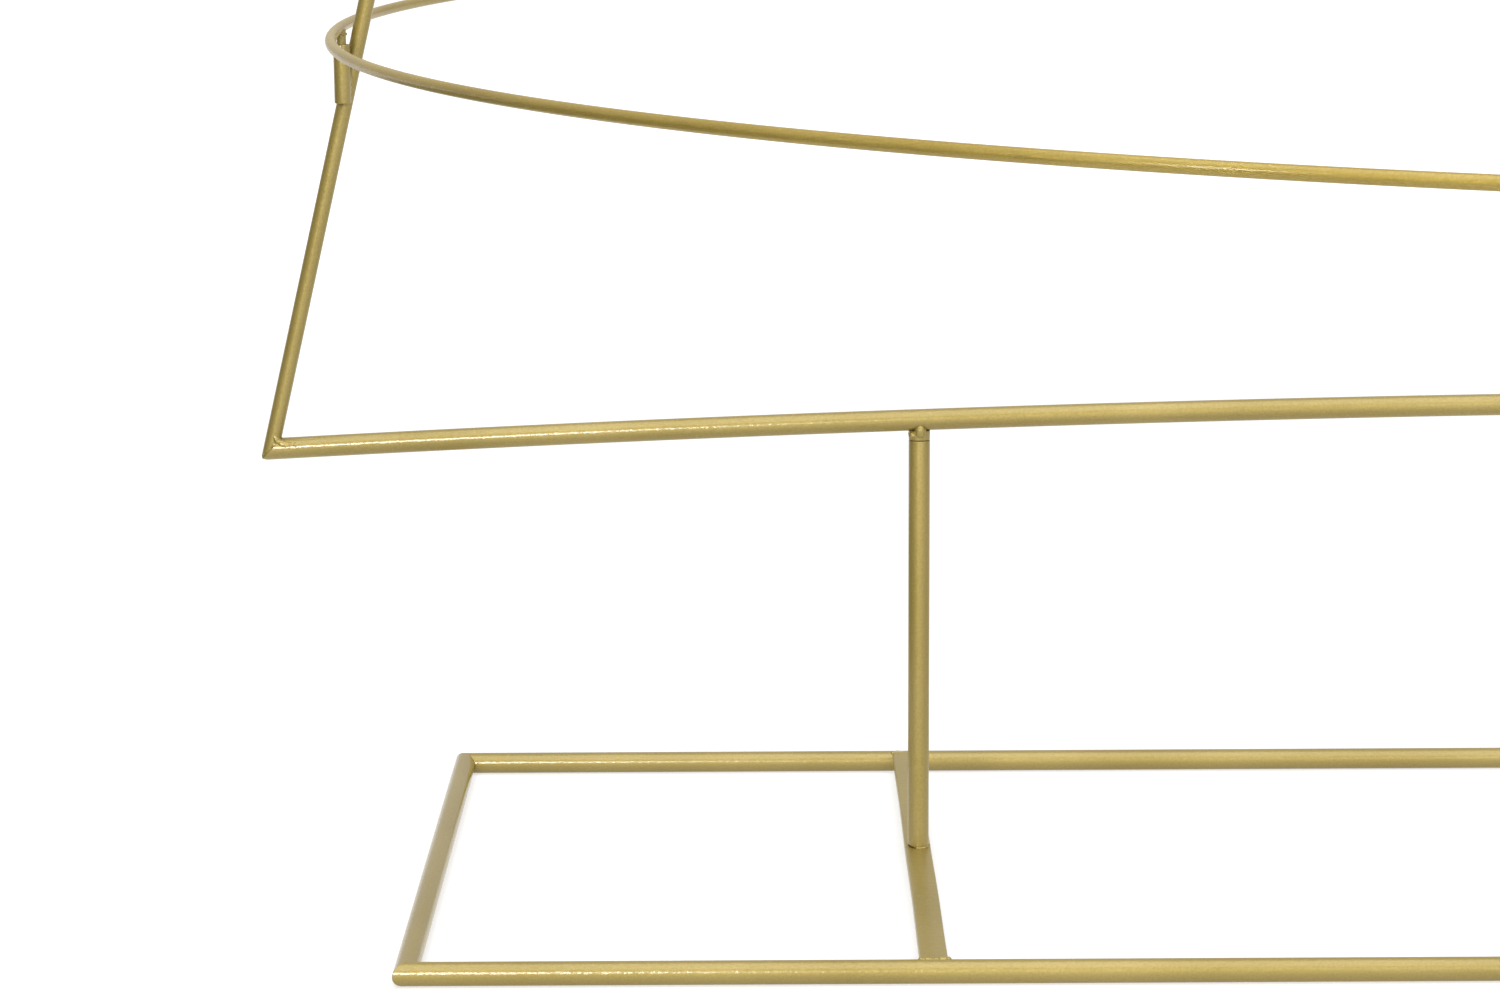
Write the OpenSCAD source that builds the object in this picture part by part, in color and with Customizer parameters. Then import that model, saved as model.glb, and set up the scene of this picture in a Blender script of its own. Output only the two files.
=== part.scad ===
// Tiered cake stand of round rod: a flat base loop with two short posts, an upright frame that
// plugs onto the posts, and three loose hoops whose pegs drop into sleeves on the frame's sides.
// Millimetres, +Z up. The origin is the centre of the base loop on the table, and -Y is the front.

/* [Base loop] */
// Diameter of the rod of the base rails
rail_d = 4; // [3:0.1:6]
// Width of the base loop, between the centre lines of its side rails
base_w = 516; // [420:1:640]
// Depth of the base loop, between the centre lines of its long rails
base_d = 132; // [100:1:180]
// Distance from a side rail to the strap next to it, between centre lines
strap_inset = 87; // [50:1:130]
// Width of the flat straps that tie the long rails together
strap_w = 4.6; // [4.2:0.1:8]
// Thickness of the flat straps, whose tops are level with the tops of the rails
strap_t = 2; // [1:0.1:2]

/* [Posts] */
// Diameter of the tube of the posts and of the collars above them
post_d = 3.8; // [3.4:0.1:5]
// Length of a post, from its strap to its open top
post_len = 74.7; // [50:0.1:120]
// Height of the collar that closes the joint between a post and the lower bar
collar_h = 1.6; // [1:0.1:6]
// Diameter of the spigot that hangs from the lower bar into a post
spigot_d = 2.2; // [1.6:0.1:2.6]
// Length of the spigot inside its post
spigot_len = 12; // [8:0.5:20]

/* [Upright frame] */
// Width of the frame between its lower corners
frame_w = 572; // [470:1:700]
// Diameter of the rod of the lower and top bars
bar_d = 3.8; // [3:0.1:6]
// Rise of the arch of each bar, at its middle
bar_rise = 7.2; // [2:0.1:15]
// Diameter of the rod of the side bars
side_d = 2.8; // [2:0.1:4]
// Angle by which the side bars lean inwards from the upright, in degrees
side_lean = 13.5; // [6:0.5:16]
// Height of the top corners above the upper hoop
top_clear = 75; // [30:1:120]

/* [Hoops] */
// Diameter of the wire of the hoops
hoop_wire_d = 1.9; // [1.5:0.1:3]
// Height of the lower hoop's wire above the table
lower_hoop_z = 152; // [120:1:220]
// Height from one hoop to the next
tier_gap = 150; // [90:1:190]
// Clear space between a hoop and the side bars that it surrounds
hoop_gap = 1.2; // [0.4:0.1:3]
// Diameter of the pegs under each hoop
peg_d = 1.6; // [1.2:0.1:2]
// Distance of a peg's centre line inside the centre line of its hoop's wire
peg_inset = 0.5; // [0.3:0.1:0.8]
// Length of peg that stays in sight between a sleeve and the wire
peg_neck = 1.7; // [0.5:0.1:4]
// Outer diameter of the sleeves that take the pegs
sleeve_d = 2.9; // [2.7:0.1:4]
// Length of a sleeve
sleeve_len = 10.2; // [7:0.1:16]
// Thickness of the closed lower end of a sleeve
sleeve_floor = 1.2; // [0.6:0.1:2]

/* [Clearances] */
// Radial clearance of a spigot in its post and of a peg in its sleeve
plug_clearance = 0.08; // [0.02:0.01:0.1]
// Depth of a post's bore beyond the end of the spigot
bore_spare = 2; // [1:0.5:6]
// Gap between faces that rest on each other at a joint that comes apart
seat_gap = 0.1; // [0.05:0.01:0.2]
// Gap between two pieces that are welded together, filled by the bead
weld_gap = 0.02; // [0.02:0.01:0.05]

/* [Hidden] */

left = -1;
right = 1;
front = -1;
back = 1;
lower = 0;
middle = 1;
upper = 2;

gold = "#BBA75F";
round_fn = 48;
hoop_fn = 360;
arc_sides = 32;
arc_steps = 24;

rail_r = rail_d / 2;
post_r = post_d / 2;
spigot_r = spigot_d / 2;
bar_r = bar_d / 2;
side_r = side_d / 2;
wire_r = hoop_wire_d / 2;
peg_r = peg_d / 2;
sleeve_r = sleeve_d / 2;

// Base: a strap's end stops short of the rail's crown, where it would run out to a knife edge.
strap_top = rail_d;
strap_x = base_w / 2 - strap_inset;
strap_end = base_d / 2 - rail_r / 2;
post_top = strap_top + weld_gap + post_len;

// Lower bar: an arc through both lower corners, carried at the posts by the collars.
bar_r_arc = arc_radius(frame_w / 2, bar_rise);
bar_at_post = post_top + seat_gap + collar_h + bar_r;
corner_z = bar_at_post - arc_height(strap_x, bar_r_arc, frame_w / 2);

// Top bar: the same arch over the narrower top of the frame.
top_z = hoop_z(upper) + top_clear;
top_half = side_x(top_z);
top_r_arc = arc_radius(top_half, bar_rise);

side_len = (top_z - corner_z) / cos(side_lean);
overrun = 3 * bar_d;
cut_size = 4 * overrun;

sleeve_y = -(sleeve_r + side_r + weld_gap);
bore_depth = sleeve_len - sleeve_floor;

// Radius of an arc with this half chord and rise.
function arc_radius(half, rise) = (half * half + rise * rise) / (2 * rise);

// Height of an arc above its end points, at distance x from its middle.
function arc_height(x, r, half) = sqrt(r * r - x * x) - sqrt(r * r - half * half);

// Slope of an arc at its end points, in degrees.
function end_slope(r, half) = asin(half / r);

// Distance of a side bar's centre line from the middle of the frame, at height z.
function side_x(z) = frame_w / 2 - tan(side_lean) * (z - corner_z);

// Height, radius, peg position and sleeve top of a tier's hoop.
function hoop_z(tier) = lower_hoop_z + tier * tier_gap;
function hoop_r(tier) = side_x(hoop_z(tier)) + (side_r + wire_r + hoop_gap) / cos(side_lean);
function peg_x(tier) = hoop_r(tier) - peg_inset;
function sleeve_top(tier) = hoop_z(tier) - wire_r - peg_neck;

// Direction of the seam between a bar and a side bar that leave a corner at two angles, such
// that the edges of the thick rod and the thin rod meet.
function seam_angle(bar_angle, side_angle) =
    let (between = abs(side_angle - bar_angle))
    bar_angle + sign(side_angle - bar_angle)
    * atan2(bar_r * sin(between), side_r + bar_r * cos(between));

lower_slope = end_slope(bar_r_arc, frame_w / 2);
top_slope = end_slope(top_r_arc, top_half);
lower_seam = seam_angle(180 - lower_slope, 90 + side_lean);
top_seam = seam_angle(180 - top_slope, 270 + side_lean);

// Everything on one side of a seam: block_side is 1 or -1. The block reaches half a weld gap
// over the seam, so two pieces cut from its two sides are a weld gap apart.
module seam_block(x, z, angle, block_side) {
    translate([x, 0, z])
        rotate([0, -angle, 0])
            translate([0, 0, block_side * (cut_size - weld_gap) / 2])
                cube(cut_size, center = true);
}

// A base rail along X whose ends are mitred towards its inner side, +Y.
module mitred_rail(len) {
    difference() {
        rotate([0, 90, 0])
            cylinder(r = rail_r, h = len + 2 * rail_d, center = true, $fn = round_fn);
        for (end = [left, right])
            translate([end * len / 2, 0, 0])
                rotate([0, 0, end * 45])
                    translate([end * (cut_size - weld_gap) / 2, 0, 0])
                        cube(cut_size, center = true);
    }
}

// One of the two long rails of the base loop.
module long_rail(row) {
    color(gold)
        mirror([0, row == back ? 1 : 0, 0])
            translate([0, -base_d / 2, rail_r])
                mitred_rail(base_w);
}

// One of the two short rails of the base loop.
module short_rail(side) {
    color(gold)
        mirror([side == right ? 1 : 0, 0, 0])
            translate([-base_w / 2, 0, rail_r])
                rotate([0, 0, -90])
                    mitred_rail(base_d);
}

// A flat strap between the long rails, coped over their inner flanks.
module strap(side) {
    color(gold)
        difference() {
            translate([side * strap_x - strap_w / 2, -strap_end, strap_top - strap_t])
                cube([strap_w, 2 * strap_end, strap_t]);
            for (row = [front, back])
                translate([side * strap_x, row * base_d / 2, rail_r])
                    rotate([0, 90, 0])
                        cylinder(r = rail_r + weld_gap, h = 2 * strap_w, center = true,
                                 $fn = round_fn);
        }
}

// A post stands on its strap, and its bored top takes a spigot of the frame.
module post(side) {
    color(gold)
        translate([side * strap_x, 0, strap_top + weld_gap])
            difference() {
                cylinder(r = post_r, h = post_len, $fn = round_fn);
                translate([0, 0, post_len - spigot_len - bore_spare])
                    cylinder(r = spigot_r + plug_clearance, h = spigot_len + bore_spare + 1,
                             $fn = round_fn);
            }
}

// An arched rod in the frame's plane, longer than its span by the overrun at both ends. Its
// rings stand square to the arc, which is too flat to sweep well as part of a torus.
module arched_rod(z, half, arc_r, radius) {
    reach = end_slope(arc_r, half) + overrun / arc_r * 180 / PI;
    points = [for (i = [0 : arc_steps]) let (a = reach * (2 * i / arc_steps - 1))
              for (j = [0 : arc_sides - 1]) let (b = 360 * j / arc_sides)
              [(arc_r + radius * cos(b)) * sin(a), radius * sin(b),
               (arc_r + radius * cos(b)) * cos(a)]];
    walls = [for (i = [0 : arc_steps - 1]) for (j = [0 : arc_sides - 1])
             let (k = i * arc_sides, n = (j + 1) % arc_sides)
             [k + j, k + n, k + arc_sides + n, k + arc_sides + j]];
    first_end = [[for (j = [arc_sides - 1 : -1 : 0]) j]];
    last_end = [[for (j = [0 : arc_sides - 1]) arc_steps * arc_sides + j]];
    translate([0, 0, z + bar_rise - arc_r])
        polyhedron(points, concat(walls, first_end, last_end));
}

// The lower bar rises from both corners towards its middle.
module lower_bar() {
    color(gold)
        difference() {
            arched_rod(corner_z, frame_w / 2, bar_r_arc, bar_r);
            for (side = [left, right])
                mirror([side == left ? 1 : 0, 0, 0])
                    seam_block(frame_w / 2, corner_z, lower_seam, -1);
        }
}

// The top bar closes the frame above the upper hoop.
module top_bar() {
    color(gold)
        difference() {
            arched_rod(top_z, top_half, top_r_arc, bar_r);
            for (side = [left, right])
                mirror([side == left ? 1 : 0, 0, 0])
                    seam_block(top_half, top_z, top_seam, 1);
        }
}

// A straight side bar leans from a lower corner to a top corner.
module side_bar(side) {
    color(gold)
        mirror([side == left ? 1 : 0, 0, 0])
            difference() {
                translate([frame_w / 2, 0, corner_z])
                    rotate([0, -side_lean, 0])
                        translate([0, 0, -overrun])
                            cylinder(r = side_r, h = side_len + 2 * overrun, $fn = round_fn);
                seam_block(frame_w / 2, corner_z, lower_seam, 1);
                seam_block(top_half, top_z, top_seam, -1);
            }
}

// What lies inside the lower bar's rod above a post, with the weld gap around it. The arch is
// so flat that a straight rod at its slope there stands for it.
module lower_bar_cut(side) {
    slope = side * asin(strap_x / bar_r_arc);
    translate([side * strap_x, 0, bar_at_post])
        rotate([0, 90 + slope, 0])
            cylinder(r = bar_r + weld_gap, h = 4 * post_d, center = true, $fn = round_fn);
}

// A collar of the posts' diameter, coped to the lower bar and bored for its spigot.
module collar(side) {
    color(gold)
        difference() {
            translate([side * strap_x, 0, post_top + seat_gap])
                cylinder(r = post_r, h = collar_h + bar_r, $fn = round_fn);
            translate([side * strap_x, 0, post_top])
                cylinder(r = spigot_r + weld_gap, h = collar_h + 2 * bar_r, $fn = round_fn);
            lower_bar_cut(side);
        }
}

// A spigot hangs from the lower bar through its collar into a post.
module spigot(side) {
    color(gold)
        difference() {
            translate([side * strap_x, 0, post_top - spigot_len])
                cylinder(r = spigot_r, h = spigot_len + seat_gap + collar_h + bar_r,
                         $fn = round_fn);
            lower_bar_cut(side);
        }
}

// A short upright sleeve, welded to the front of a side bar and closed at its foot.
module sleeve(tier, side) {
    color(gold)
        translate([side * peg_x(tier), sleeve_y, sleeve_top(tier) - sleeve_len])
            difference() {
                cylinder(r = sleeve_r, h = sleeve_len, $fn = round_fn);
                translate([0, 0, sleeve_floor])
                    cylinder(r = peg_r + plug_clearance, h = sleeve_len, $fn = round_fn);
            }
}

// A hoop surrounds both side bars.
module hoop(tier) {
    color(gold)
        translate([0, 0, hoop_z(tier)])
            rotate_extrude($fn = hoop_fn)
                translate([hoop_r(tier), 0])
                    circle(r = wire_r, $fn = round_fn);
}

// A peg stands on its sleeve's floor and is coped to the hoop's wire above it. At the peg the
// wire is as good as straight, so a straight rod stands for it.
module peg(tier, side) {
    foot_z = sleeve_top(tier) - bore_depth + seat_gap;
    color(gold)
        mirror([side == left ? 1 : 0, 0, 0])
            difference() {
                translate([peg_x(tier), sleeve_y, foot_z])
                    cylinder(r = peg_r, h = hoop_z(tier) - foot_z, $fn = round_fn);
                rotate([0, 0, asin(sleeve_y / hoop_r(tier))])
                    translate([hoop_r(tier), 0, hoop_z(tier)])
                        rotate([90, 0, 0])
                            cylinder(r = wire_r + weld_gap, h = 4 * peg_d, center = true,
                                     $fn = round_fn);
            }
}

long_rail(front);  // base_front_rail
long_rail(back);  // base_back_rail
short_rail(left);  // base_left_rail
short_rail(right);  // base_right_rail
strap(left);  // left_strap
strap(right);  // right_strap
post(left);  // left_post
post(right);  // right_post
lower_bar();
top_bar();
side_bar(left);  // left_side_bar
side_bar(right);  // right_side_bar
collar(left);  // left_collar
collar(right);  // right_collar
spigot(left);  // left_spigot
spigot(right);  // right_spigot
sleeve(lower, left);  // lower_left_sleeve
sleeve(lower, right);  // lower_right_sleeve
sleeve(middle, left);  // middle_left_sleeve
sleeve(middle, right);  // middle_right_sleeve
sleeve(upper, left);  // upper_left_sleeve
sleeve(upper, right);  // upper_right_sleeve
hoop(lower);  // lower_hoop
hoop(middle);  // middle_hoop
hoop(upper);  // upper_hoop
peg(lower, left);  // lower_left_peg
peg(lower, right);  // lower_right_peg
peg(middle, left);  // middle_left_peg
peg(middle, right);  // middle_right_peg
peg(upper, left);  // upper_left_peg
peg(upper, right);  // upper_right_peg
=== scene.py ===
# %% [markdown]
# # A tiered cake stand of round rod
#
# The stand has three kinds of part: a flat base loop with two posts, an upright frame that
# plugs onto the posts, and three loose hoops that hang on the frame. All of it is steel rod
# and wire, welded, then sprayed with a satin gold paint. The engineering model of the stand is
# loaded first, and stays as it is. Every piece below is drawn around it, in the same places.

import math

import bmesh
import bpy
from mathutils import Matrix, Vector


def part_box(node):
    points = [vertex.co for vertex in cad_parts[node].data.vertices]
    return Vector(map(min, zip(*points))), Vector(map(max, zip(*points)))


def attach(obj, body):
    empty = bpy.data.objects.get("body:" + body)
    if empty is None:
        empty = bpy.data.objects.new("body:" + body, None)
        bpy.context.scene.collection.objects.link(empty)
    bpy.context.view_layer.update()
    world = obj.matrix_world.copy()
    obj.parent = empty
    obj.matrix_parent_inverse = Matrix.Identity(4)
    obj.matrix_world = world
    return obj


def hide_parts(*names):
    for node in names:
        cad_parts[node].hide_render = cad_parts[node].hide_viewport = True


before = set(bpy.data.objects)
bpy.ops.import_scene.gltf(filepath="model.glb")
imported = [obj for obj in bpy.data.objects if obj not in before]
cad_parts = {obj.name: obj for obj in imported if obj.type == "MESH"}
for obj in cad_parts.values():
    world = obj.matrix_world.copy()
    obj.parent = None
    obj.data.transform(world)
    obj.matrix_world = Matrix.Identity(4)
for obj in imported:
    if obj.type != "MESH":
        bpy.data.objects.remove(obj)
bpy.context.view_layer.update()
MM = 0.001
SIDES = (("left", -1), ("right", 1))
TIERS = ("lower", "middle", "upper")
# Edges that turn by more than this stay sharp, and are the ones a file would take down.
SHARP = math.radians(35)

# %% [markdown]
# ## The camera
#
# A long lens from a short way in front of the stand, a little left of its middle, looks down
# on it by eleven degrees. A long lens keeps upright rods upright, and from this low the loop
# of the base and the hoop above it both read as thin lines with some depth between them.

# %% Place the camera
camera = bpy.data.objects.new("camera", bpy.data.cameras.new("camera"))
bpy.context.scene.collection.objects.link(camera)
camera.data.lens = 91.43
camera.data.sensor_width = 36
camera.data.clip_start = 0.01
camera.location = (-0.19909, -0.66465, 0.20022)
tilt = 78.748
camera.rotation_euler = [math.radians(a) for a in (tilt, 0.332, 0.106)]
bpy.context.scene.camera = camera
print("camera looks down by", round(90 - tilt, 1), "degrees")

# %% [markdown]
# ## Two small helpers
#
# Colours are written as a painter would note them, in hex, and turned into the linear values
# that the renderer mixes. The second helper adds one node to any tree, with its settings and
# its links, so that a tree below reads as a list of what it does.

# %% Helpers for colours and nodes
def linear(hex_colour):
    """An sRGB hex colour as the linear colour that Blender works in."""
    parts = [int(hex_colour[i:i + 2], 16) / 255 for i in (1, 3, 5)]
    return [p / 12.92 if p <= 0.04045 else ((p + 0.055) / 1.055) ** 2.4 for p in parts] + [1]


def add(tree, kind, links=(), **settings):
    """Adds a node. links is {socket: value or the output to join to it}."""
    node = tree.nodes.new(kind)
    for name, value in settings.items():
        setattr(node, name, value)
    for socket, value in dict(links).items():
        if isinstance(value, bpy.types.NodeSocket):
            tree.links.new(value, node.inputs[socket])
        else:
            node.inputs[socket].default_value = value
    return node


print("gold in linear light:", [round(v, 3) for v in linear("#BBA75F")[:3]])

# %% [markdown]
# ## The gold paint
#
# The finish is a sprayed metallic paint: fine aluminium flakes under a pale gold tint, closed
# by a thin satin lacquer. The flakes give a broad soft sheen, and the lacquer a thin bright
# line where a lamp is mirrored. So the shader is a rough metal with a smoother coat.
#
# Sprayed paint is never quite flat. It dries to a fine orange peel, about a millimetre from
# crest to crest on rod this thin, which breaks the bright line into grains. Real flakes are
# 0.05 mm, far too fine to show, so they are drawn 0.4 mm wide and faint. A slow drift of the
# tint along a rod, over some 30 mm, comes from uneven passes of the spray gun. On welds the
# paint lies over spatter and looks duller and more uneven.

# %% Mix the paint
def gold_paint(name, thin_coat, thick_coat, roughness, peel, flake, lacquer=0.18, cover=0.85):
    """A sprayed metallic paint. roughness is (least, most), peel the depth of the orange peel
    in mm, flake the strength of the flakes, lacquer the roughness of the coat over it and
    cover how much of the paint the lacquer closes."""
    material = bpy.data.materials.new(name)
    material.use_nodes = True
    tree = material.node_tree
    tree.nodes.clear()
    place = add(tree, "ShaderNodeTexCoord").outputs["Object"]

    def noise(width, detail):
        """A noise whose spots are about width mm across."""
        return add(tree, "ShaderNodeTexNoise", {"Vector": place, "Scale": 1 / (width * MM),
                   "Detail": detail}).outputs["Fac"]

    def spread(value, least, most):
        """Stretches the middle of a noise, where nearly all of it lies, to least and most."""
        return add(tree, "ShaderNodeMapRange", {"Value": value, "From Min": 0.3, "From Max": 0.7,
                   "To Min": least, "To Max": most}).outputs["Result"]

    drift, flakes, orange_peel = noise(30, 2), noise(0.4, 1), noise(1.1, 2)
    amount = add(tree, "ShaderNodeMath", {0: drift, 1: spread(flakes, -flake, flake)},
                 operation="ADD")
    colour = add(tree, "ShaderNodeMix", {0: spread(amount.outputs[0], 0, 1),
                 6: linear(thin_coat), 7: linear(thick_coat)}, data_type="RGBA")
    skin = add(tree, "ShaderNodeBump", {"Height": orange_peel, "Strength": 1,
               "Distance": peel * MM})
    paint = add(tree, "ShaderNodeBsdfPrincipled", {
        "Base Color": colour.outputs[2], "Roughness": spread(flakes, *roughness),
        "Normal": skin.outputs["Normal"], "Metallic": 0.8, "Specular Tint": linear("#D8C48C"),
        "Coat Weight": cover, "Coat Roughness": lacquer, "Coat Normal": skin.outputs["Normal"]})
    add(tree, "ShaderNodeOutputMaterial", {"Surface": paint.outputs["BSDF"]})
    return material


# Satin lacquer over metallic paint on drawn rod: pale gold with a soft sheen.
rod_paint = gold_paint("satin_gold_paint", "#9F8D4E", "#958342", (0.56, 0.66), 0.045, 0.06)
# The same paint over welds, which shows their spatter and is a shade deeper.
weld_paint = gold_paint("satin_gold_paint_on_welds", "#A08E4B", "#8D7B38", (0.5, 0.66), 0.09,
                        0.1)
# The hoops take a deeper, warmer tint than the rods, under a thinner, smoother lacquer.
hoop_paint = gold_paint("satin_gold_paint_on_hoops", "#A8934B", "#9A853D", (0.54, 0.64), 0.03,
                        0.06, 0.17, 0.55)
# Flat bar keeps the scale of the rolls under its paint, so the lacquer lies duller on it.
bar_paint = gold_paint("satin_gold_paint_on_flat_bar", "#9F8D4E", "#958342", (0.56, 0.66), 0.07,
                       0.06, 0.34)
print("paints:", rod_paint.name, hoop_paint.name, weld_paint.name, bar_paint.name)

# %% [markdown]
# ## From a node tree to a piece
#
# Several shapes here repeat or follow a line, so they are grown by Geometry Nodes. A tree is
# built once, with named inputs, and used for every piece of its kind. Each result is turned
# into a plain mesh. A finished piece then rides on the body that it moves with, and hides the
# solids of the engineering model that it stands for.

# %% Helpers for trees and pieces
def new_tree(name, inputs):
    """An empty geometry tree with the named inputs, given as {name: socket type}."""
    tree = bpy.data.node_groups.new(name, "GeometryNodeTree")
    tree.interface.new_socket("Geometry", in_out="INPUT", socket_type="NodeSocketGeometry")
    for label, kind in inputs.items():
        tree.interface.new_socket(label, in_out="INPUT", socket_type=kind)
    tree.interface.new_socket("Geometry", in_out="OUTPUT", socket_type="NodeSocketGeometry")
    return tree, tree.nodes.new("NodeGroupInput").outputs


def close_tree(tree, geometry, paint):
    """Ends a tree: real geometry, smooth except at sharp edges, and painted."""
    real = add(tree, "GeometryNodeRealizeInstances", {"Geometry": geometry})
    smooth = add(tree, "GeometryNodeSetShadeSmooth", {"Geometry": real.outputs[0]})
    angle = add(tree, "GeometryNodeInputMeshEdgeAngle")
    sharp = add(tree, "FunctionNodeCompare", {0: angle.outputs[0], 1: SHARP})
    edges = add(tree, "GeometryNodeSetShadeSmooth", {"Geometry": smooth.outputs[0],
                "Selection": sharp.outputs[0], "Shade Smooth": False}, domain="EDGE")
    painted = add(tree, "GeometryNodeSetMaterial", {"Geometry": edges.outputs[0],
                  "Material": paint})
    add(tree, "NodeGroupOutput", {0: painted.outputs[0]})


def grow(name, tree, values, line=None):
    """Runs a tree with these input values and returns its result as a plain mesh object."""
    seed = show(name + "_seed", line or bpy.data.meshes.new(name + "_seed"))
    modifier = seed.modifiers.new("tree", "NODES")
    modifier.node_group = tree
    names = {s.name: s.identifier for s in tree.interface.items_tree if s.in_out == "INPUT"}
    for label, value in values.items():
        modifier[names[label]] = value
    return plain(name, seed)


def show(name, data):
    """An object of this name for a mesh or a lamp, at the origin."""
    shown = bpy.data.objects.new(name, data)
    bpy.context.scene.collection.objects.link(shown)
    return shown


def plain(name, source):
    """A copy of source as one plain mesh, with its modifiers applied. source is removed."""
    depsgraph = bpy.context.evaluated_depsgraph_get()
    mesh = bpy.data.meshes.new_from_object(source.evaluated_get(depsgraph))
    bpy.data.objects.remove(source)
    mesh.name = name
    return show(name, mesh)


def built(name, verts, faces, paint, sharp):
    """A mesh object from its points and faces, smooth except where it turns by sharp."""
    mesh = bpy.data.meshes.new(name)
    mesh.from_pydata(verts, [], faces)
    mesh.shade_smooth()
    mesh.set_sharp_from_angle(angle=sharp)
    mesh.materials.append(paint)
    return show(name, mesh)


def finish(piece, body, *nodes):
    """The piece rides on body and stands for these solids of the engineering model."""
    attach(piece, body)
    if nodes:
        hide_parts(*nodes)
    ends = [Vector(c) for c in piece.bound_box]
    size = [(max(c[i] for c in ends) - min(c[i] for c in ends)) / MM for i in range(3)]
    print(f"{piece.name}: {len(piece.data.polygons)} faces, mm", [round(s, 1) for s in size])


print("helpers ready")

# %% [markdown]
# ## Reading places off the engineering model
#
# The box around each solid gives its middle and half its size, and for a rod half the box's
# thin side is its radius. What no box tells is written here: where the corners of the leaning
# frame are, how far its side bars lean, how much its bars bow, and the sizes of the bores.

# %% Places and sizes
def middle(node):
    low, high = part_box(node)
    return (low + high) / 2


def half(node):
    low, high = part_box(node)
    return (high - low) / 2


rail_r = half("base_front_rail").z
bar_r = half("lower_bar").y
side_r = half("left_side_bar").y
wire_r = half("lower_hoop").z
post_r = half("left_post").x

bar_rise = 7.2 * MM
side_lean = math.radians(13.5)
corner_x = 286 * MM
collar_h = 1.6 * MM
post_bore_r, post_bore_depth = 1.18 * MM, 14 * MM
collar_bore_r = 1.12 * MM
sleeve_r, sleeve_bore_r, sleeve_floor = 1.45 * MM, 0.88 * MM, 1.2 * MM
corner_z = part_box("lower_bar")[1].z - bar_rise - bar_r
top_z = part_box("top_bar")[1].z - bar_rise - bar_r
top_x = corner_x - math.tan(side_lean) * (top_z - corner_z)
for label, value in (("rail", rail_r), ("bars", bar_r), ("side bars", side_r), ("wire", wire_r),
                     ("posts", post_r)):
    print(label, "are", round(2 * value / MM, 2), "mm thick")

# %% [markdown]
# ## Rods cut to a mitre
#
# The base loop and the frame are made of straight or gently bowed rods, sawn at their corners
# to a mitre and welded. A cylinder would do for a straight one, but its square ends would
# leave notches. So one tree draws them all: a line between two corners, bowed to an arc of
# the given rise, swept by a round section. Last, the rim at each end slides along the rod
# until it lies in the plane of the saw cut, just as the saw leaves it.

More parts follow.
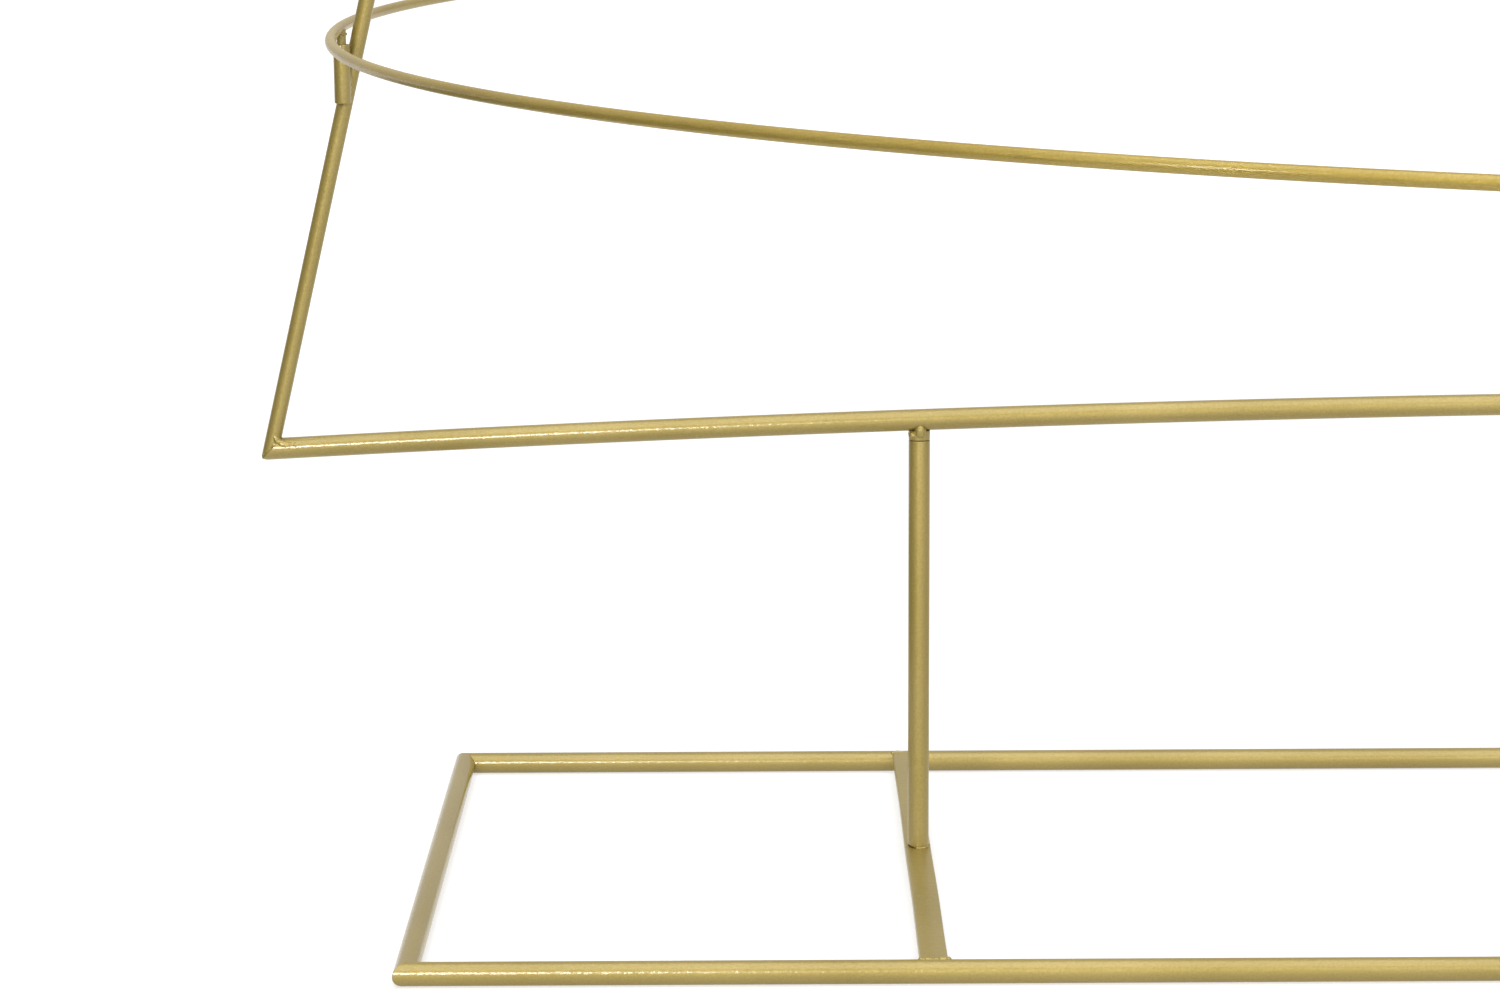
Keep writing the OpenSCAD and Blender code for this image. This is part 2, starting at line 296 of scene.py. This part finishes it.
# %% Tree for a mitred rod
def mitred_rod_tree():
    tree, given = new_tree("mitred_rod", {
        "Start": "NodeSocketVector", "End": "NodeSocketVector", "Start cut": "NodeSocketVector",
        "End cut": "NodeSocketVector", "Rise": "NodeSocketFloat", "Radius": "NodeSocketFloat",
        "Steps": "NodeSocketInt", "Sides": "NodeSocketInt", "Paint": "NodeSocketMaterial"})

    def sum_of(a, operation, b=0.0):
        return add(tree, "ShaderNodeMath", {0: a, 1: b}, operation=operation).outputs[0]

    def vector(operation, a, b=(0, 0, 0)):
        node = add(tree, "ShaderNodeVectorMath", {0: a, 1: b}, operation=operation)
        return node.outputs[1 if operation in ("DOT_PRODUCT", "DISTANCE") else 0]

    line = add(tree, "GeometryNodeCurvePrimitiveLine", {"Start": given["Start"],
               "End": given["End"]})
    points = add(tree, "GeometryNodeResampleCurve", {"Curve": line.outputs[0],
                 "Count": given["Steps"]})
    along = add(tree, "GeometryNodeSplineParameter").outputs["Factor"]
    chord = sum_of(vector("DISTANCE", given["Start"], given["End"]), "MULTIPLY", 0.5)
    # An arc of radius R over half a chord c rises by R - sqrt(R^2 - c^2), so R follows from it.
    squares = sum_of(sum_of(chord, "POWER", 2), "ADD", sum_of(given["Rise"], "POWER", 2))
    arc_r = sum_of(squares, "DIVIDE", sum_of(given["Rise"], "MULTIPLY", 2))
    off_middle = sum_of(sum_of(along, "SUBTRACT", 0.5), "MULTIPLY", sum_of(chord, "MULTIPLY", 2))

    def depth(x):
        square = sum_of(sum_of(arc_r, "POWER", 2), "SUBTRACT", sum_of(x, "POWER", 2))
        return sum_of(sum_of(square, "MAXIMUM", 0), "SQRT")

    bow = add(tree, "ShaderNodeCombineXYZ",
              {"Z": sum_of(depth(off_middle), "SUBTRACT", depth(chord))})
    bowed = add(tree, "GeometryNodeSetPosition", {"Geometry": points.outputs[0],
                "Offset": bow.outputs[0]})
    kept = tree.nodes.new("GeometryNodeCaptureAttribute")
    kept.capture_items.new("FLOAT", "along")
    kept.capture_items.new("VECTOR", "heading")
    tree.links.new(bowed.outputs[0], kept.inputs[0])
    tree.links.new(along, kept.inputs[1])
    tree.links.new(add(tree, "GeometryNodeInputTangent").outputs[0], kept.inputs[2])
    ring = add(tree, "GeometryNodeCurvePrimitiveCircle", {"Resolution": given["Sides"],
               "Radius": given["Radius"]})
    rod = add(tree, "GeometryNodeCurveToMesh", {"Curve": kept.outputs[0],
              "Profile Curve": ring.outputs[0], "Fill Caps": True}).outputs[0]
    heading = kept.outputs[2]
    for corner, cut, side, share in (("Start", "Start cut", "LESS_THAN", 0.0005),
                                     ("End", "End cut", "GREATER_THAN", 0.9995)):
        at_end = sum_of(kept.outputs[1], side, share)
        here = add(tree, "GeometryNodeInputPosition").outputs[0]
        off_plane = vector("DOT_PRODUCT", vector("SUBTRACT", given[corner], here), given[cut])
        slide = sum_of(off_plane, "DIVIDE", vector("DOT_PRODUCT", heading, given[cut]))
        step = add(tree, "ShaderNodeVectorMath", {0: heading, "Scale": slide}, operation="SCALE")
        rod = add(tree, "GeometryNodeSetPosition", {"Geometry": rod, "Selection": at_end,
                  "Offset": step.outputs[0]}).outputs[0]
    close_tree(tree, rod, given["Paint"])
    return tree


rod_tree = mitred_rod_tree()
print("mitred rod tree has", len(rod_tree.nodes), "nodes")

# %% [markdown]
# ## Breaking the sawn edge
#
# Each rod's cut edge is dressed with a file before the weld and softened by paint after it,
# so a bevel of less than a tenth of a millimetre gives the fine groove that shows along
# every mitre. The corners of the base are left as they are cut. Those of the frame stand up
# at hand height, and their sharp outer tips are ground back until they no longer scratch:
# a few rings are cut near each end, and what reaches past the corner is pressed in.

# %% Round the outer tip of a corner
# Where rings are cut, in mm from the corner. A tip keeps at most TIP_LEFT past its limit, and
# leaves the limit at TIP_SLOPE of the reach it had.
TIP_RINGS = (0.25, 0.5, 0.8, 1.1, 1.5, 3.2, 3.6)
TIP_LEFT, TIP_SLOPE = 0.9 * MM, 0.55


def ground_tip(rod, corner, cut, tip):
    """Presses in what reaches further than tip past the corner, on its outer side."""
    corner, cut = Vector(corner), Vector(cut).normalized()
    shape = bmesh.new()
    shape.from_mesh(rod.data)
    inwards = Vector([sum(v.co[i] for v in shape.verts) / len(shape.verts) for i in range(3)])
    cut *= math.copysign(1, (inwards - corner).dot(cut))
    side = Vector((0, 1, 0)) if abs(cut.z) > 1e-4 else Vector((0, 0, 1))
    outwards = cut.cross(side)
    outwards *= -math.copysign(1, (inwards - corner).dot(outwards))
    for step in TIP_RINGS:
        bmesh.ops.bisect_plane(shape, geom=shape.verts[:] + shape.edges[:] + shape.faces[:],
                               plane_co=corner + cut * (step * MM), plane_no=cut)
    for vert in shape.verts:
        reach = (vert.co - corner).dot(outwards) - tip
        if reach > 0 and (vert.co - corner).length < 3 * tip:
            left = TIP_LEFT * math.tanh(TIP_SLOPE * reach / TIP_LEFT)
            vert.co -= outwards * (reach - left)
    shape.to_mesh(rod.data)
    shape.free()


print("a tip keeps at most", TIP_LEFT / MM, "mm past its limit")

# %% Make one mitred rod
def mitred_rod(name, body, node, start, end, start_cut, end_cut, radius, rise=0.0, steps=2):
    """A rod from corner to corner. Each cut is a direction square to the saw's plane."""
    rod = grow(name, rod_tree, {"Start": start, "End": end, "Start cut": start_cut,
               "End cut": end_cut, "Rise": rise, "Radius": radius, "Steps": steps, "Sides": 40,
               "Paint": rod_paint})
    if body == "frame":
        ground_tip(rod, start, start_cut, bar_r)
        ground_tip(rod, end, end_cut, bar_r)
    edge = rod.modifiers.new("filed edge", "BEVEL")
    edge.width, edge.segments, edge.limit_method = 0.07 * MM, 2, "ANGLE"
    edge.angle_limit = SHARP
    rod.modifiers.new("closed edge", "WELD").merge_threshold = 0.002 * MM
    finish(plain(name, rod), body, node)


# %% Rails of the base loop
left_x, right_x = middle("base_left_rail").x, middle("base_right_rail").x
front_y, back_y = middle("base_front_rail").y, middle("base_back_rail").y
for name, node, start, end in (
        ("front_rail_rod", "base_front_rail", (left_x, front_y), (right_x, front_y)),
        ("back_rail_rod", "base_back_rail", (right_x, back_y), (left_x, back_y)),
        ("left_rail_rod", "base_left_rail", (left_x, back_y), (left_x, front_y)),
        ("right_rail_rod", "base_right_rail", (right_x, front_y), (right_x, back_y))):
    run = (Vector(end) - Vector(start)).normalized()
    turn = Vector((-run.y, run.x))
    mitred_rod(name, "base", node, (*start, rail_r), (*end, rail_r), (*(run - turn), 0),
               (*(run + turn), 0), rail_r)

# %% [markdown]
# ## The upright frame
#
# Its thicker lower and top bars are bowed by 7 mm, its thinner side bars are straight and
# lean inwards. Where a thick and a thin rod meet, the seam runs through the points where
# their edges cross, so it is not quite half way between them.

# %% Bars of the frame
def seam(bar_angle, side_angle):
    """The direction of the seam between a bar and a side bar leaving one corner."""
    between = abs(side_angle - bar_angle)
    swing = math.atan2(bar_r * math.sin(between), side_r + bar_r * math.cos(between))
    return bar_angle + math.copysign(swing, side_angle - bar_angle)


def arc_slope(half_chord):
    """The slope of a bowed bar at its ends."""
    return math.asin(2 * half_chord * bar_rise / (half_chord ** 2 + bar_rise ** 2))


low_seam = seam(math.pi - arc_slope(corner_x), math.pi / 2 + side_lean)
high_seam = seam(math.pi - arc_slope(top_x), 3 * math.pi / 2 + side_lean)
low_cut = Vector((-math.sin(low_seam), 0, math.cos(low_seam)))
high_cut = Vector((-math.sin(high_seam), 0, math.cos(high_seam)))
flip = Vector((-1, 1, 1))

mitred_rod("lower_bar_rod", "frame", "lower_bar", (-corner_x, 0, corner_z),
           (corner_x, 0, corner_z), low_cut * flip, low_cut, bar_r, bar_rise, 97)
mitred_rod("top_bar_rod", "frame", "top_bar", (-top_x, 0, top_z), (top_x, 0, top_z),
           high_cut * flip, high_cut, bar_r, bar_rise, 61)
for side, x in SIDES:
    mirror = Vector((x, 1, 1))
    mitred_rod(side + "_side_rod", "frame", side + "_side_bar", (x * corner_x, 0, corner_z),
               (x * top_x, 0, top_z), low_cut * mirror, high_cut * mirror, side_r)

# %% [markdown]
# ## The hoops
#
# A hoop is 2 mm wire rolled round a drum, with its ends welded and dressed. It follows a
# simple rule, a round section swept round a circle, so it is a tree of its own. Enough steps
# keep its outline round when the camera is near.

# %% Tree for a hoop, and the three hoops
def hoop_tree():
    tree, given = new_tree("wire_hoop", {
        "Hoop radius": "NodeSocketFloat", "Wire radius": "NodeSocketFloat",
        "Height": "NodeSocketFloat", "Steps": "NodeSocketInt", "Paint": "NodeSocketMaterial"})
    circle = add(tree, "GeometryNodeCurvePrimitiveCircle", {"Resolution": given["Steps"],
                 "Radius": given["Hoop radius"]})
    wire = add(tree, "GeometryNodeCurvePrimitiveCircle", {"Resolution": 24,
               "Radius": given["Wire radius"]})
    swept = add(tree, "GeometryNodeCurveToMesh", {"Curve": circle.outputs[0],
                "Profile Curve": wire.outputs[0]})
    lift = add(tree, "ShaderNodeCombineXYZ", {"Z": given["Height"]})
    raised = add(tree, "GeometryNodeSetPosition", {"Geometry": swept.outputs[0],
                 "Offset": lift.outputs[0]})
    close_tree(tree, raised.outputs[0], given["Paint"])
    return tree


wire_tree = hoop_tree()
for tier in TIERS:
    ring = grow(tier + "_wire_hoop", wire_tree, {
        "Hoop radius": half(tier + "_hoop").y - wire_r, "Wire radius": wire_r,
        "Height": middle(tier + "_hoop").z, "Steps": 288, "Paint": hoop_paint})
    finish(ring, tier + "_tier", tier + "_hoop")

# %% [markdown]
# ## Posts, collars and sleeves
#
# These are short pieces of tube, parted off on a lathe. A lathe part is one outline turned
# about an axis, so each is drawn as its outline from the foot, up the outside, over the rim
# and down the bore. Small round-overs at the rims are what the light catches. A post's foot
# was cut a little out of square, so a dark wedge stays open on its outer side.

# %% Turn a tube from its outline
def turned(name, centre, outline, foot_tilt=0.0, open_bore=False, sides=48):
    """A shape turned about an upright axis. outline is [(radius, height)] in metres, up the
    outside and down the bore. An open bore joins the last ring to the first, and otherwise
    both are closed by a disc. foot_tilt lifts the side of the foot at -X, or the one at +X
    where it is negative."""
    verts, faces = [], []
    foot = min(z for r, z in outline)
    for r, z in outline:
        for k in range(sides):
            a = 2 * math.pi * k / sides
            x = r * math.cos(a)
            lift = abs(foot_tilt) * max(0, -x * math.copysign(1, foot_tilt) / post_r - 0.2)
            verts.append((centre.x + x, centre.y + r * math.sin(a),
                          z + (lift if z < foot + 0.4 * MM else 0)))
    last = len(verts) - sides
    for i in range(0, len(verts) if open_bore else last, sides):
        for k in range(sides):
            n, up = (k + 1) % sides, (i + sides) % len(verts)
            faces.append((i + k, i + n, up + n, up + k))
    if not open_bore:
        faces += [tuple(range(sides - 1, -1, -1)), tuple(range(last, last + sides))]
    return built(name, verts, faces, rod_paint, SHARP)


def tube_outline(low, high, outer, bore, floor, rim=0.12 * MM):
    """The outline of a tube between two heights, bored from its top down to floor."""
    corner = [(rim * (1 - math.sin(a)), rim * (1 - math.cos(a)))
              for a in (0, math.pi / 6, math.pi / 3, math.pi / 2)]
    foot = [(outer - dr, low + dz) for dr, dz in corner]
    lip = [(outer - dr, high - dz) for dr, dz in reversed(corner)]
    inside = [(bore + rim / 2, high), (bore, high - rim / 2), (bore, floor), (bore * 0.3, floor)]
    return [(outer * 0.5, low)] + foot + lip + inside


# %% The two posts
for side, x in SIDES:
    low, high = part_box(side + "_post")
    outline = tube_outline(low.z, high.z, post_r, post_bore_r, high.z - post_bore_depth)
    # A ring just above the foot, so that the tilt of the foot stops there.
    outline.insert(5, (post_r, low.z + 0.6 * MM))
    finish(turned(side + "_post_tube", middle(side + "_post"), outline, -x * 0.5 * MM), "base",
           side + "_post")

# %% Collars under the lower bar
collar_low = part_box("left_collar")[0].z
under_bar = collar_low + collar_h
for side, _ in SIDES:
    outline = tube_outline(collar_low, under_bar + 0.05 * MM, post_r, collar_bore_r, collar_low)
    finish(turned(side + "_collar_ring", middle(side + "_post"), outline[1:-1],
                  open_bore=True), "frame", side + "_collar")

# %% [markdown]
# ## Sleeves on the side bars
#
# Each hoop drops its two pegs into these. They are closed at the foot, where the cut end of
# the tube was pressed round, and open at the top.

# %% The six sleeves
for tier in TIERS:
    for side, _ in SIDES:
        node = f"{tier}_{side}_sleeve"
        low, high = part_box(node)
        outline = tube_outline(low.z, high.z, sleeve_r, sleeve_bore_r, low.z + sleeve_floor,
                               rim=0.2 * MM)
        finish(turned(node + "_tube", middle(node), outline), "frame", node)

# %% [markdown]
# ## The straps
#
# A strap is hot-rolled flat bar, 4.6 by 2 mm. Its edges are rounded by the rolls, and it is
# never quite straight. It is drawn as a rounded section moved along the strap in short steps,
# with a faint wander, and runs into both rails where the welds close it in.

# %% Draw the straps
def strap(name, node):
    """A flat bar between the long rails, with a rounded section moved along it."""
    at, size = middle(node), half(node)
    edge = 0.35 * MM
    section = []
    for cx, cz, first in ((1, 1, 0), (-1, 1, 90), (-1, -1, 180), (1, -1, 270)):
        for k in range(5):
            a = math.radians(first + 22.5 * k)
            section.append((cx * (size.x - edge) + edge * math.cos(a),
                            cz * (size.z - edge) + edge * math.sin(a)))
    steps, verts, faces = 48, [], []
    for i in range(steps + 1):
        y = (size.y + 0.5 * MM) * (2 * i / steps - 1)
        wander = 0.04 * MM * math.sin(y / MM * 0.11 + at.x * 9)
        verts += [(at.x + x + wander, y, at.z + z) for x, z in section]
    count = len(section)
    for i in range(0, steps * count, count):
        for k in range(count):
            n, up = (k + 1) % count, i + count
            faces.append((i + n, i + k, up + k, up + n))
    faces.append(tuple(range(count)))
    faces.append(tuple(range(steps * count + count - 1, steps * count - 1, -1)))
    finish(built(name, verts, faces, bar_paint, math.radians(50)), "base", node)


strap("left_flat_strap", "left_strap")
strap("right_flat_strap", "right_strap")

# %% [markdown]
# ## Welds
#
# A weld is a row of small dabs of melted steel that ran together, dressed a little and closed
# by the paint. So a tree follows a line, sets a ball at every step along it, each a little
# larger or smaller, and draws one skin round them all. Smoothing the skin gives the soft
# ripples of a weld under paint. The lines are worked out from the rods that meet there, and
# each carries the size of its dabs from end to end.

# %% Tree for a row of weld dabs
def weld_tree():
    tree, given = new_tree("weld_dabs", {
        "Spacing": "NodeSocketFloat", "Unevenness": "NodeSocketFloat", "Seed": "NodeSocketInt",
        "Grain": "NodeSocketFloat", "Paint": "NodeSocketMaterial"})
    curve = add(tree, "GeometryNodeMeshToCurve", {"Mesh": given["Geometry"]})
    points = add(tree, "GeometryNodeCurveToPoints", {"Curve": curve.outputs[0],
                 "Length": given["Spacing"]}, mode="LENGTH")
    size = add(tree, "GeometryNodeInputNamedAttribute", {"Name": "dab"})
    least = add(tree, "ShaderNodeMath", {0: 1.0, 1: given["Unevenness"]}, operation="SUBTRACT")
    most = add(tree, "ShaderNodeMath", {0: 1.0, 1: given["Unevenness"]}, operation="ADD")
    chance = add(tree, "FunctionNodeRandomValue", {2: least.outputs[0], 3: most.outputs[0],
                 "Seed": given["Seed"]}, data_type="FLOAT")
    radius = add(tree, "ShaderNodeMath", {0: size.outputs[0], 1: chance.outputs[1]},
                 operation="MULTIPLY")
    melt = add(tree, "GeometryNodePointsToVolume", {"Points": points.outputs[0],
               "Voxel Size": given["Grain"], "Radius": radius.outputs[0]},
               resolution_mode="VOXEL_SIZE")
    skin = add(tree, "GeometryNodeVolumeToMesh", {"Volume": melt.outputs[0]})
    place = add(tree, "GeometryNodeInputPosition")
    eased = add(tree, "GeometryNodeBlurAttribute", {"Value": place.outputs[0], "Iterations": 5},
                data_type="FLOAT_VECTOR")
    smooth = add(tree, "GeometryNodeSetPosition", {"Geometry": skin.outputs[0],
                 "Position": eased.outputs[0]})
    close_tree(tree, smooth.outputs[0], given["Paint"])
    return tree


dab_tree = weld_tree()


def welds(name, body, lines, spacing=0.45 * MM, seed=1):
    """One mesh of all the welds on a body. lines is [(points, dab sizes)], in metres."""
    verts, edges, sizes = [], [], []
    for points, dabs in lines:
        first = len(verts)
        verts += [tuple(p) for p in points]
        edges += [(first + i, first + i + 1) for i in range(len(points) - 1)]
        span = len(points) - 1
        for i in range(len(points)):
            t = i / span * (len(dabs) - 1)
            k = min(int(t), len(dabs) - 2)
            sizes.append(dabs[k] + (dabs[k + 1] - dabs[k]) * (t - k))
    line = bpy.data.meshes.new(name + "_lines")
    line.from_pydata(verts, edges, [])
    line.attributes.new("dab", "FLOAT", "POINT").data.foreach_set("value", sizes)
    piece = grow(name, dab_tree, {"Spacing": spacing, "Unevenness": 0.12, "Seed": seed,
                 "Grain": 0.11 * MM, "Paint": weld_paint}, line)
    finish(piece, body)


def arc(centre, radius, first, last, height, count=25):
    """Points on a level arc. The angles are in degrees, from +X towards +Y."""
    turns = [math.radians(first + (last - first) * i / count) for i in range(count + 1)]
    return [Vector((centre.x + radius * math.cos(a), centre.y + radius * math.sin(a), height))
            for a in turns]


def in_mm(*sizes):
    """Sizes noted in millimetres, in metres."""
    return [size * MM for size in sizes]


# %% Welds of the base
base_lines = []
for side, x in SIDES:
    at, top = middle(side + "_post"), 2 * rail_r
    # Round the post's foot, leaving out the outer side, where the wedge stays open.
    first, last = (-100, 190) if side == "left" else (-10, 280)
    base_lines.append((arc(at, post_r, first, last, top + 0.05 * MM),
                       in_mm(0.24, 0.34, 0.34, 0.34, 0.24)))
    for y in (-1, 1):
        # Across the strap's end, and down the rail at both its edges.
        end = Vector((at.x, y * (half(side + "_strap").y + 0.35 * MM), top - 0.28 * MM))
        row = [end + Vector((x * (t - 2.0) * MM, 0, 0)) for t in (-0.2, 0.6, 1.4, 2.2, 3.0, 3.8)]
        base_lines.append((row, in_mm(0.42, 0.62, 0.44, 0.4, 0.6, 0.44)))
        for s in (-1, 1):
            leg = end + Vector((2.3 * MM * s, -y * 0.2 * MM, 0))
            base_lines.append(([leg, leg + Vector((0.25 * s * MM, y * 0.2 * MM, -0.5 * MM)),
                                leg + Vector((0.5 * s * MM, y * 0.3 * MM, -1.2 * MM))],
                               in_mm(0.5, 0.4)))
welds("base_welds", "base", base_lines, seed=3)

# %% Welds of the frame
# Rows of dabs at a corner of the frame, in mm: each point is (towards the inner corner, towards
# the side bar, towards the front), and then come the sizes of the dabs along the row.
CORNER_BEADS = (
    ([(2.3, 0, 0.1), (2.1, 0.05, 0.6), (1.75, -0.1, 0.85), (1.1, 0.15, 0.88), (0.3, 0.25, 0.9),
      (-0.6, 0.25, 0.86), (-1.5, 0.2, 0.68)], [0.4, 0.6, 0.66, 0.6, 0.52, 0.46, 0.4]),
    ([(2.26, 0.95, 0.85), (1.87, -0.14, 0.86), (2.38, -1.32, 1.12), (3.1, -2.0, 1.18),
      (4.4, -3.3, 1.3)], [0.64, 0.74, 0.76, 0.66, 0.5]))

frame_lines = []
for side, x in SIDES:
    at = middle(side + "_post")
    for y in (-1, 1):
        # One round bead where the collar meets the bar, and a smaller lump on its left.
        spot = Vector((at.x + 0.12 * MM, y * 1.13 * MM, under_bar))
        frame_lines.append(([spot + Vector((0, 0, h * MM)) for h in (0.7, 0.1, -0.4)],
                            in_mm(0.75, 1.0, 1.04)))
        lump = Vector((at.x - 1.25 * MM, y * 0.95 * MM, under_bar - 0.75 * MM))
        frame_lines.append(([lump, lump + Vector((0.5 * MM, y * 0.2 * MM, -0.05 * MM))],
                            in_mm(0.7, 0.6)))
    up_side = Vector((-x * math.sin(side_lean), 0, math.cos(side_lean)))
    for corner, cut, way in ((Vector((x * corner_x, 0, corner_z)), low_seam, up_side),
                             (Vector((x * top_x, 0, top_z)), high_seam, -up_side)):
        inner = Vector((x * math.cos(cut), 0, math.sin(cut)))
        across = (way - inner * way.dot(inner)).normalized()
        for y in (-1, 1):
            for row, dabs in CORNER_BEADS:
                points = [corner + (inner * i + across * a + Vector((0, y * d, 0))) * MM
                          for i, a, d in row]
                frame_lines.append((points, in_mm(*dabs)))
for tier in TIERS:
    for side, x in SIDES:
        # A fine row behind the sleeve on its outer side, and a thicker one on its inner side.
        low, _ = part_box(f"{tier}_{side}_sleeve")
        at = middle(f"{tier}_{side}_sleeve")
        outer = Vector((at.x + x * 0.75 * MM, at.y + 1.35 * MM, low.z + 1.2 * MM))
        inner = Vector((at.x - x * 1.12 * MM, at.y + 1.35 * MM, low.z + 0.6 * MM))
        frame_lines.append(([outer, outer + Vector((0, 0, 4.3 * MM))], in_mm(0.2, 0.34, 0.2)))
        frame_lines.append(([inner, inner + Vector((-x * 0.2 * MM, 0, 2.0 * MM)),
                             inner + Vector((-x * 0.3 * MM, 0.1 * MM, 4.0 * MM))],
                            in_mm(0.42, 0.46, 0.3)))
welds("frame_welds", "frame", frame_lines, spacing=0.42 * MM, seed=5)

# %% Welds under the hoops
def saddle(hoop, peg, inset):
    """The line where an upright pin meets the wire above it, round the pin's outer side."""
    points = []
    for i in range(25):
        a = math.radians(75 + 210 * i / 24)
        across = inset + peg_r * math.cos(a)
        drop = math.sqrt(max(0, wire_r ** 2 - across ** 2))
        points.append(Vector((peg.x + math.copysign(peg_r * math.cos(a), -peg.x),
                              peg.y + peg_r * math.sin(a), hoop.z - drop)))
    return points


peg_r = half("lower_left_peg").x
for tier in TIERS:
    hoop = middle(tier + "_hoop")
    reach = half(tier + "_hoop").y - wire_r
    lines = []
    for side, _ in SIDES:
        peg = middle(f"{tier}_{side}_peg")
        inset = reach - math.hypot(peg.x, peg.y)
        lines.append((saddle(hoop, peg, inset), in_mm(0.22, 0.3, 0.22)))
    welds(tier + "_hoop_welds", tier + "_tier", lines, spacing=0.3 * MM, seed=7)

# %% [markdown]
# ## What stays of the engineering model
#
# The spigots under the frame and the pegs under the hoops are plain round pins that sit
# inside their tubes. Their shape is already right, so they stay, and only get the paint.

# %% Paint the pins
for name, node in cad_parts.items():
    if name.endswith(("_spigot", "_peg")):
        node.data.materials.clear()
        node.data.materials.append(rod_paint)
        print("painted", name)

# %% [markdown]
# ## Table and light
#
# A white table in a white room. Rod this thin is drawn by what it mirrors, so its shading is
# mostly the room above and the table below. A wide soft lamp hangs overhead and a weaker one
# stands on the right. A small lamp beside the camera draws the thin bright line along every
# level rod, and a narrow beam from the left edges the inner side of the post. The table
# is white to the camera and in mirrors, and still takes the stand's shadow.

# %% Table and room
def seen_directly(tree):
    """1 for rays from the camera, from mirrors and through glass, and 0 for all others."""
    ray = add(tree, "ShaderNodeLightPath").outputs
    shown = add(tree, "ShaderNodeMath", {0: ray["Is Camera Ray"], 1: ray["Is Glossy Ray"]},
                operation="MAXIMUM").outputs[0]
    return add(tree, "ShaderNodeMath", {0: shown, 1: ray["Is Transmission Ray"]},
               operation="MAXIMUM").outputs[0]


table_mesh = bpy.data.meshes.new("table")
table_mesh.from_pydata([(-8, -8, 0), (8, -8, 0), (8, 8, 0), (-8, 8, 0)], [], [(0, 1, 2, 3)])
table = show("table", table_mesh)
white = bpy.data.materials.new("matt_white_table")
white.use_nodes = True
tree = white.node_tree
tree.nodes.clear()
chalk = add(tree, "ShaderNodeBsdfDiffuse", {"Color": (0.5, 0.5, 0.5, 1)})
place = add(tree, "ShaderNodeTexCoord").outputs["Object"]
reach = add(tree, "ShaderNodeVectorMath", {0: place}, operation="LENGTH").outputs["Value"]
level = add(tree, "ShaderNodeMapRange", {"Value": reach, "From Min": 0.4, "From Max": 1.2,
            "To Min": 0.58, "To Max": 0.88}, interpolation_type="SMOOTHSTEP").outputs["Result"]
level = add(tree, "ShaderNodeMath", {0: level, 1: seen_directly(tree)},
            operation="MULTIPLY").outputs[0]
glow = add(tree, "ShaderNodeEmission", {"Strength": level})
cloth = add(tree, "ShaderNodeAddShader", {0: chalk.outputs[0], 1: glow.outputs[0]})
add(tree, "ShaderNodeOutputMaterial", {"Surface": cloth.outputs[0]})
table_mesh.materials.append(white)

world = bpy.data.worlds.new("white_room")
bpy.context.scene.world = world
world.use_nodes = True
tree = world.node_tree
tree.nodes.clear()
# The room is white to look at, and lights the stand with about a third of that.
level = add(tree, "ShaderNodeMapRange", {"Value": seen_directly(tree), "To Min": 0.35,
            "To Max": 1.0})
room = add(tree, "ShaderNodeBackground", {"Strength": level.outputs[0]})
add(tree, "ShaderNodeOutputWorld", {"Surface": room.outputs[0]})
print("table and room are white")

# %% Lamps
def lamp(name, place, aim, width, height, watts, beam=180):
    """A soft box at place, turned to aim, in metres, watts and degrees of beam."""
    light = bpy.data.lights.new(name, "AREA")
    light.shape, light.size, light.size_y, light.energy = "RECTANGLE", width, height, watts
    light.spread = math.radians(beam)
    box = show(name, light)
    box.location = place
    box.rotation_euler = (Vector(aim) - Vector(place)).to_track_quat("-Z", "Y").to_euler()
    box.visible_camera = False
    print(name, watts, "W")


lamp("ceiling_softbox", (-0.05, -0.5, 1.95), (0, -0.15, 0.05), 2.6, 2.4, 44.5)
lamp("right_softbox", (0.9, -2.0, 0.8), (0, 0, 0.1), 1.2, 1.0, 11)
lamp("camera_lamp", (-0.54, -2.1, 0.7), (-0.2, 0, 0.1), 0.4, 0.48, 22)
lamp("left_strip_lamp", (-1.0, -0.76, 0.29), (-0.15, -0.23, 0.15), 0.1, 0.2, 0.045, 24)

# %% [markdown]
# ## A grey card beside the stand
#
# Satin rod in an all-white room has no dark side. A card of grey felt stands out of view on
# the left, with a flap lying in front of it, and the rods mirror it as the olive shade down
# their left flanks. It casts no shadow and is seen by nothing but the paint.

# %% Stand the card on the left
wall = [(-0.75, -1.5), (-1.35, -0.8), (-1.35, 0.5)]
card_mesh = bpy.data.meshes.new("grey_card")
card_mesh.from_pydata([(x, y, 0.4) for x, y in wall] + [(x, y, 0.002) for x, y in wall]
                      + [(-0.36, -0.8, 0.002), (-0.36, 0.38, 0.002)], [],
                      [(0, 3, 4, 1), (1, 4, 5, 2), (3, 6, 7, 5, 4)])
card = show("grey_card", card_mesh)
card.visible_camera = card.visible_diffuse = card.visible_shadow = False
felt = bpy.data.materials.new("grey_felt")
felt.use_nodes = True
pile = felt.node_tree.nodes["Principled BSDF"].inputs
pile["Base Color"].default_value = (0.25, 0.25, 0.25, 1)
card_mesh.materials.append(felt)
print("card stands", round(-wall[1][0] + left_x, 2), "m left of the base")

# %% [markdown]
# ## The view transform
#
# Colours are shown through the Standard view transform.

# %% Set the view transform
bpy.context.scene.view_settings.view_transform = "Standard"
